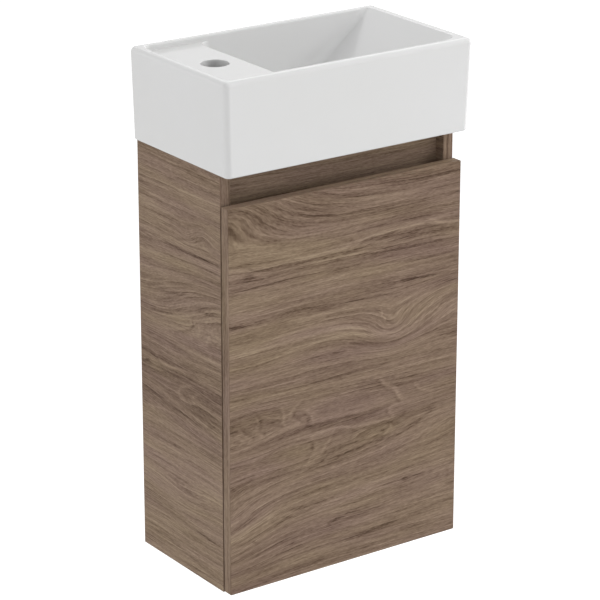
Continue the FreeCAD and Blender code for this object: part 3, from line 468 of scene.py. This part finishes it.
door_walnut = walnut_board(
    "door_walnut", "door", seed=3.7,
    swells=(
        (-200, 512, 110, 56, 44),
        (-110, 525, 140, 50, 16),
        (95, 440, 95, 22, 8),
        (72, 305, 42, 26, -24),
        (185, 330, 60, 30, 22),
        (-45, 322, 70, 30, 4),
        (-190, 196, 90, 16, -13),
        (200, 175, 170, 32, 26),
        (-215, 85, 95, 60, -42),
        (230, 115, 150, 70, 12),
    ),
    flames=(
        (-110, 490, 75, 26, 0.0, 0.12, 0.6),
        (12, 218, 62, 15, 0.7, 0.15, 0.3),
        (-125, 220, 50, 18, 0.3, 0.45, 0.7),
        (-85, 172, 40, 13, 0.6, 0.20, 0.3),
        (40, 171, 34, 7, 0.6, 0.15, 0.3),
    ),
    plain=(
        (10, 212, 80, 24, 0.8),
        (-110, 198, 60, 8, 0.6),
        (-60, 172, 75, 16, 0.6),
        (45, 176, 60, 14, 0.6),
        (-120, 220, 40, 16, 0.5),
        (75, 320, 36, 12, 0.5),
        (-105, 437, 45, 9, 0.5),
    ),
    lines=(
        (1.9, -0.27, 0.0, (-66, 426), (-10, 427), (40, 435.5), (85, 436), (132, 438), (146, 432),
         (176, 428)),
        (1.8, 0.18, 0.0, (-152, 431), (-136, 423), (-110, 419.5), (-50, 419.5), (0, 420), (35, 425),
         (62, 430)),
        (2.2, 0.18, 0.0, (-176, 436), (-146, 434)),
        (1.5, -0.20, 0.0, (-60, 417.5), (0, 416.5), (30, 415), (60, 413)),
        (1.6, 0.18, 0.0, (-176, 414), (-130, 411), (-95, 413.5), (-20, 412.5), (60, 411.5), (176, 407)),
        (2.4, 0.04, 0.14, (-125, 448), (-95, 441), (-75, 433), (-62, 426)),
        (1.3, 0.13, 0.0, (-176, 371), (-90, 369), (0, 368.5), (90, 367)),
        (1.1, -0.16, 0.0, (60, 369.5), (150, 367), (176, 364)),
        (1.6, 0.20, 0.0, (-176, 357), (-150, 356), (-95, 360), (-60, 359), (-10, 356.5), (40, 355),
         (70, 352)),
        (2.4, -0.18, -0.24, (-110, 319), (-40, 321.5), (0, 320), (30, 313), (52, 303), (75, 299), (90, 303),
         (120, 318), (158, 336)),
        (1.8, -0.16, -0.20, (-60, 312), (0, 312.5), (40, 303), (70, 295), (90, 297), (120, 309), (150, 320),
         (176, 325)),
        (2.0, -0.18, 0.24, (54, 334), (57, 324), (63, 315), (72, 310), (84, 312)),
        (3.6, -0.06, -0.36, (50, 240), (60, 231), (74, 222), (81, 211), (86, 205)),
        (3.2, -0.03, -0.28, (86, 204), (70, 202), (65, 195), (71, 187)),
        (2.4, -0.08, 0.0, (20, 238), (-16, 233), (-46, 228), (-66, 224)),
        (3.6, -0.03, -0.30, (-67, 225), (-54, 217), (-55, 206)),
        (3.2, -0.04, 0.28, (-69, 238), (-81, 228), (-85, 222), (-73, 213), (-71, 209)),
        (2.6, -0.10, 0.24, (-71, 209), (-86, 206), (-120, 200), (-150, 194), (-176, 191)),
        (3.0, -0.04, -0.26, (-101, 236), (-96, 226), (-100, 216), (-93, 209)),
        (2.8, -0.05, 0.24, (-162, 226), (-157, 216), (-144, 207)),
        (2.8, -0.05, 0.26, (-135, 232), (-132, 223), (-136, 216), (-126, 206)),
        (2.8, -0.05, -0.22, (108, 221), (114, 213), (130, 207)),
        (3.4, 0.04, -0.30, (-58, 205), (-10, 204), (30, 202.5), (64, 205)),
        (5.0, 0.17, 0.0, (-56, 200), (-16, 198), (24, 195), (62, 197)),
        (2.8, 0.18, 0.0, (-120, 193), (-85, 198), (-56, 202)),
        (3.0, 0.18, 0.0, (-61, 214), (-57, 204)),
        (2.6, -0.16, 0.28, (-56, 191), (-26, 192), (-3, 191), (9, 186), (41, 185), (66, 185.5)),
        (2.0, 0.18, 0.0, (-16, 188), (4, 185), (14, 180.5), (44, 179), (64, 180.5), (74, 175.5), (88, 174)),
        (1.6, -0.18, 0.0, (36, 167), (61, 166.5), (71, 171), (69, 177)),
        (1.5, -0.16, 0.0, (1, 167), (24, 168)),
        (1.8, 0.19, 0.0, (-61, 143), (-43, 147), (-28, 157), (-6, 163), (19, 163.5), (44, 162), (69, 163)),
        (1.7, 0.19, 0.0, (-26, 145), (4, 154), (31, 157), (64, 157), (89, 160), (109, 167), (139, 181)),
        (2.4, 0.08, 0.24, (-128, 175), (-101, 183), (-83, 185.5), (-56, 184)),
        (3.0, -0.04, -0.22, (-56, 186), (-48, 178), (-51, 165), (-58, 157), (-70, 145)),
        (3.0, -0.04, 0.24, (-20, 181), (-31, 168), (-41, 158), (-58, 147)),
        (2.0, -0.22, 0.0, (-176, 73), (-151, 78), (-126, 84), (-116, 92)),
        (2.4, -0.18, 0.0, (-128, 95.5), (-106, 92), (-86, 93)),
        (1.3, 0.13, 0.0, (-60, 95.5), (-36, 95.5), (0, 100.5), (39, 108), (74, 112)),
        (1.8, 0.17, 0.0, (-113, 77), (-93, 84), (-68, 87), (-41, 92)),
        (1.7, -0.18, 0.0, (-176, 63), (-148, 62)),
        (1.6, 0.16, 0.0, (-176, 42), (-101, 54), (-60, 58), (0, 60.5), (74, 67)),
        (2.2, 0.17, 0.0, (-66, 38), (-36, 40.5), (0, 38), (39, 35.5), (74, 38), (176, 48)),
        (2.2, 0.16, 0.0, (-176, 25.5), (-101, 30.5), (-36, 32), (39, 34)),
    ),
    flecks=(
        (-145, 417, 9, 3.6, 1.0),
        (112, 365.5, 34, 2.6, 0.95, -4),
        (-166, 357, 16, 2.2, 0.9),
        (165, 352, 16, 2.6, 0.7),
        (57, 171, 5, 2.4, 1.0),
        (102, 168, 13, 2.2, 0.7, 20),
        (-75, 95, 18, 2.6, 0.9),
        (-93, 88, 8, 1.8, 0.7),
        (-141, 66, 4, 2.4, 0.9),
        (-16, 65, 15, 3.2, 0.85, 16),
        (12, 70.5, 14, 2.2, 0.8, 10),
        (24, 95.5, 10, 1.3, 0.7),
        (70, 93.5, 22, 1.5, 0.75),
        (94, 92.5, 9, 3.2, 0.95),
        (116, 94, 12, 1.8, 0.75),
        (170, 70, 9, 3.0, 1.0),
        (-82, 48.5, 12, 2.6, 0.85, -4),
    ),
    zones=(
        (-40, 490, 170, 24, 0.13),
        (-170, 490, 30, 24, 0.08),
        (25, 486, 40, 18, 0.08),
        (150, 498, 40, 10, -0.05),
        (-170, 436, 25, 20, 0.05),
        (80, 494, 34, 3.5, 0.10),
        (140, 480, 50, 1.5, 0.10),
        (-115, 446, 48, 7, -0.10, -14),
        (-80, 431, 22, 4, -0.12, -12),
        (92, 425, 26, 3.6, 0.20),
        (155, 421, 26, 3.6, 0.14),
        (-45, 400, 22, 4, -0.10),
        (10, 401, 70, 7, 0.07),
        (-120, 392, 70, 9, -0.10),
        (-60, 346, 130, 9, -0.11),
        (-165, 318, 30, 16, -0.06),
        (155, 351, 30, 7, 0.12),
        (0, 326, 230, 13, -0.07),
        (15, 293, 60, 9, 0.12),
        (-90, 276, 120, 12, -0.06),
        (-131, 224, 8, 5, 0.14),
        (-168, 222, 9, 5, 0.14),
        (-111, 221, 9, 6, 0.12),
        (86, 184, 10, 5, 0.10),
        (134, 184, 8, 4, 0.16),
        (-52, 175, 4, 4, 0.14),
        (-110, 172, 35, 10, 0.06),
        (0, 147, 90, 12, 0.13),
        (-145, 95, 24, 5, 0.10),
        (150, 110, 75, 24, -0.16),
        (-40, 76, 110, 12, -0.13),
        (45, 35, 45, 22, -0.05),
        (-40, 14, 200, 13, 0.07),
    ),
    warmth=(
        (-110, 442, 55, 12, 0.25),
        (-45, 400, 30, 6, 0.20),
        (-140, 322, 55, 16, 0.20),
        (90, 322, 40, 14, 0.20),
        (-80, 172, 38, 12, 0.30),
        (50, 172, 30, 8, 0.25),
        (130, 160, 60, 22, 0.20),
        (60, 112, 160, 14, 0.12),
        (12, 216, 70, 18, -0.22),
        (10, 290, 90, 12, -0.20),
        (-130, 155, 40, 12, -0.20),
        (0, 470, 150, 14, -0.10),
    ),
)
side_walnut = walnut_board(
    "side_walnut", "side", seed=11.3,
    swells=(
        (-146, 462, 24, 14, 10),
        (-111, 448, 18, 10, -5),
        (-200, 372, 110, 34, 30),
        (10, 352, 110, 34, -18),
        (-200, 208, 110, 24, -14),
        (10, 218, 90, 24, 8),
        (-95, 98, 70, 22, -9),
    ),
    flames=(
        (-138, 334, 34, 14, 0.4, 0.4, 0.4),
        (-100, 240, 48, 14, 0.4, 0.4, 0.4),
        (-10, 258, 14, 9, 0.5, 0.4, 0.5),
    ),
    plain=(
        (-125, 333, 40, 14, 0.7),
        (-95, 243, 50, 14, 0.6),
    ),
    lines=(
        (2.4, 0.14, 0.0, (-40, 462), (-70, 463), (-100, 459), (-120, 465), (-145, 467)),
        (2.4, 0.06, -0.28, (-85, 439), (-110, 445), (-125, 450), (-142, 459)),
        (1.9, 0.18, 0.0, (0, 424), (-75, 428), (-120, 429), (-184, 433)),
        (1.8, 0.16, 0.0, (-135, 382), (-160, 385), (-184, 390)),
        (2.0, 0.18, 0.0, (-50, 363), (-75, 367), (-100, 372)),
        (2.6, 0.18, 0.0, (-120, 363), (-150, 369), (-184, 380)),
        (2.2, 0.18, 0.0, (-82, 345), (-105, 352), (-130, 360), (-160, 363), (-184, 369)),
        (1.7, 0.16, 0.0, (-30, 332), (-50, 334), (-75, 340)),
        (1.6, -0.15, 0.0, (-110, 342), (-135, 347), (-160, 355), (-180, 360)),
        (2.8, 0.10, 0.28, (-82, 319), (-100, 325), (-112, 329), (-120, 337), (-119, 344)),
        (2.2, -0.16, 0.0, (-100, 325), (-117, 323), (-132, 328), (-137, 335), (-132, 343)),
        (2.4, -0.18, 0.0, (-135, 317), (-150, 322), (-155, 330), (-162, 337)),
        (2.4, -0.14, 0.24, (-30, 273), (-50, 265), (-65, 264), (-85, 268), (-120, 273), (-150, 274)),
        (3.0, 0.08, 0.0, (-40, 261), (-70, 258), (-110, 261)),
        (2.4, -0.14, 0.0, (-115, 255), (-97, 250), (-85, 240), (-90, 237), (-100, 230)),
        (2.2, -0.13, 0.0, (-127, 248), (-117, 240), (-122, 233)),
        (2.0, 0.20, 0.0, (0, 223), (-30, 219), (-60, 214), (-100, 212), (-150, 208)),
        (1.7, 0.16, 0.0, (-150, 207), (-184, 198)),
        (1.6, -0.13, 0.0, (-15, 198), (-45, 203), (-75, 205), (-100, 203), (-115, 198)),
        (1.5, 0.13, 0.0, (-37, 162), (-75, 162), (-100, 158)),
        (1.8, 0.12, 0.0, (-92, 108), (-122, 108)),
        (3.4, 0.19, 0.0, (0, 69), (-60, 66), (-100, 63), (-184, 59)),
        (2.4, 0.16, 0.0, (-17, 27), (-50, 28), (-75, 25), (-100, 23), (-130, 18), (-184, 12)),
        (2.4, 0.12, 0.0, (-10, 19), (-50, 20)),
    ),
    flecks=(
        (-150, 430.5, 36, 1.4, 0.65, -3),
        (-104, 375, 11, 2.4, 0.7, -25),
        (-160, 364, 18, 3.0, 0.6, -12),
        (-150, 61, 40, 1.8, 0.7, 2),
    ),
    zones=(
        (-92, 270, 2000, 2000, -0.06),
        (-60, 540, 120, 10, 0.07),
        (-92, 510, 200, 14, 0.04),
        (-92, 440, 120, 9, -0.10),
        (-155, 456, 22, 5, -0.06),
        (0, 413, 40, 12, 0.05),
        (-130, 412, 60, 12, -0.10),
        (-70, 376, 45, 22, -0.12),
        (-90, 336, 40, 10, -0.10),
        (-5, 335, 25, 14, 0.06),
        (-92, 250, 200, 36, 0.16),
        (-40, 300, 90, 14, 0.04),
        (-12, 258, 8, 6, 0.10),
        (-35, 256, 16, 5, -0.08),
        (-158, 213, 8, 5, 0.12),
        (-80, 200, 150, 15, 0.06),
        (-5, 222, 20, 40, 0.05),
        (-60, 265, 50, 8, -0.04),
        (-92, 163, 200, 12, -0.05),
        (-92, 130, 200, 45, -0.11),
        (-150, 61, 50, 5, 0.06),
        (-92, 12, 150, 10, 0.05),
    ),
    warmth=(
        (-50, 450, 60, 10, 0.20),
        (-150, 450, 40, 12, 0.20),
        (-90, 336, 45, 12, 0.20),
        (-35, 256, 20, 7, 0.20),
        (-140, 315, 40, 6, -0.25),
    ),
)
rail_walnut = walnut_board("rail_walnut", "door", seed=23.1)
shelf_walnut = walnut_board("shelf_walnut", "shelf", seed=31.9)
white_glaze = ceramic()
chrome = metal(
    "polished_chrome", screen(222, 223, 225), screen(232, 233, 234),
    size=6.0, rough_low=0.05, rough_high=0.12, relief=0.01,
)
nickel = metal(
    "nickel_plate", screen(196, 196, 194), screen(214, 214, 212),
    size=0.9, rough_low=0.24, rough_high=0.36, relief=0.10,
)
zinc_plate = metal(
    "zinc_plate", screen(186, 188, 190), screen(208, 209, 210),
    size=0.7, rough_low=0.26, rough_high=0.40, relief=0.12,
)
zinc_cast = metal(
    "cast_zinc", screen(168, 169, 170), screen(188, 189, 190),
    size=0.5, rough_low=0.38, rough_high=0.52, relief=0.35,
)
white_plastic = moulded(
    "white_plastic", screen(232, 232, 229), screen(238, 238, 236),
    size=0.6, rough_low=0.28, rough_high=0.38, relief=0.10,
)
grey_plastic = moulded(
    "grey_plastic", screen(172, 174, 176), screen(184, 186, 188),
    size=0.5, rough_low=0.40, rough_high=0.55, relief=0.20,
)
black_rubber = moulded(
    "black_rubber", screen(34, 34, 34), screen(48, 48, 48),
    size=0.4, rough_low=0.55, rough_high=0.75, relief=0.30, specular=0.3,
)
clear_rubber = moulded(
    "clear_bumper", screen(226, 228, 230), screen(238, 239, 240),
    size=0.8, rough_low=0.12, rough_high=0.22, relief=0.05, clear=0.6,
)
bare_beech = beech()

FINISHES = {
    door_walnut: ["door_panel"],
    side_walnut: ["left_side_panel", "right_side_panel"],
    rail_walnut: ["handle_rail", "rear_top_rail", "rear_bottom_rail"],
    shelf_walnut: ["shelf", "bottom_panel"],
    white_glaze: ["basin"],
    chrome: ["waste_body", "waste_plug"],
    nickel: ["upper_hinge_plate", "lower_hinge_plate", "upper_hinge_arm", "lower_hinge_arm",
             "upper_hinge_cup", "lower_hinge_cup", "hinge_pivot_pins"],
    zinc_plate: ["left_hanger_hook", "right_hanger_hook", "left_wall_plate", "right_wall_plate",
                 "hinge_plate_screws", "hinge_arm_screws", "hinge_cup_screws", "hanger_adjusters",
                 "hanger_screws", "cam_bolts"],
    zinc_cast: ["cam_locks"],
    white_plastic: ["trap_inlet_nut", "trap_inlet_pipe", "trap_gland_nut", "trap_body", "trap_cup",
                    "trap_outlet_nut", "trap_outlet_pipe", "waste_back_nut"],
    grey_plastic: ["left_hanger_housing", "right_hanger_housing", "waste_cartridge", "shelf_pins"],
    black_rubber: ["waste_upper_seal", "waste_gasket", "trap_inlet_washer", "trap_gland_seal",
                   "trap_cup_seal", "trap_outlet_seal"],
    clear_rubber: ["door_bumpers"],
    bare_beech: ["carcass_dowels"],
}
for finish, names in FINISHES.items():
    for name in names:
        for slot in nodes[name].material_slots:
            slot.material = finish


def seen_directly(tree):
    """1 for what is seen straight on, mirrored or through a clear piece, and 0 for light on the unit."""
    path = add(tree, "ShaderNodeLightPath").outputs
    seen = sums(tree, "MAXIMUM", path["Is Camera Ray"], path["Is Glossy Ray"])
    return sums(tree, "MAXIMUM", seen, path["Is Transmission Ray"])


def studio_floor():
    """Pale floor that shows white where no shadow falls."""
    mesh = bpy.data.meshes.new("studio_floor")
    half = FLOOR_SPREAD / 2
    corners = [(-half, -half, 0.0), (half, -half, 0.0), (half, half, 0.0), (-half, half, 0.0)]
    mesh.from_pydata(corners, [], [(0, 1, 2, 3)])
    floor = bpy.data.objects.new("studio_floor", mesh)
    floor.location.z = FLOOR_Z
    bpy.context.scene.collection.objects.link(floor)
    material, tree, shader = new_material("studio_white")
    shader.inputs["Base Color"].default_value = (FLOOR_WHITE, FLOOR_WHITE, FLOOR_WHITE, 1.0)
    shader.inputs["Roughness"].default_value = 1.0
    shader.inputs["Specular IOR Level"].default_value = 0.0
    shader.inputs["Emission Color"].default_value = (1.0, 1.0, 1.0, 1.0)
    away = vectors(tree, "LENGTH", add(tree, "ShaderNodeTexCoord").outputs["Object"])
    glow = spread(tree, away, FLOOR_GLOW_START, FLOOR_GLOW_END, FLOOR_GLOW_NEAR, FLOOR_GLOW_FAR)
    feed(tree, shader.inputs["Emission Strength"], sums(tree, "MULTIPLY", seen_directly(tree), glow))
    mesh.materials.append(material)


def studio_sky():
    """Even white light from all around, which shows as plain white."""
    world = bpy.data.worlds.new("studio_sky")
    bpy.context.scene.world = world
    world.use_nodes = True
    tree = world.node_tree
    sky = tree.nodes["Background"]
    sky.inputs["Color"].default_value = (1.0, 1.0, 1.0, 1.0)
    feed(tree, sky.inputs["Strength"], spread(tree, seen_directly(tree), 0.0, 1.0, SKY_STRENGTH, 1.0))


def soft_lamp(name, way, power, size=LAMP_SIZE, mirrored=False):
    """Large soft lamp that faces the unit, or a bright card that only shows mirrored in glossy pieces."""
    lamp = bpy.data.lights.new(name, "AREA")
    lamp.size = size
    lamp.energy = power
    light = bpy.data.objects.new(name, lamp)
    outward = Vector(way).normalized()
    light.location = Vector(LAMP_AIM) + outward * LAMP_DISTANCE
    light.rotation_euler = outward.to_track_quat("Z", "Y").to_euler()
    light.visible_glossy = mirrored
    light.visible_diffuse = not mirrored
    bpy.context.scene.collection.objects.link(light)


def photo_camera():
    """Camera at the photograph's place."""
    camera = bpy.data.cameras.new("photo_camera")
    camera.lens = CAMERA_LENS
    viewer = bpy.data.objects.new("photo_camera", camera)
    viewer.location = CAMERA_PLACE
    viewer.rotation_euler = [math.radians(angle) for angle in CAMERA_TURN]
    bpy.context.scene.collection.objects.link(viewer)
    bpy.context.scene.camera = viewer


studio_floor()
studio_sky()
for lamp_name, lamp_values in LAMPS.items():
    soft_lamp(lamp_name, **lamp_values)
photo_camera()
bpy.context.scene.view_settings.view_transform = "Standard"
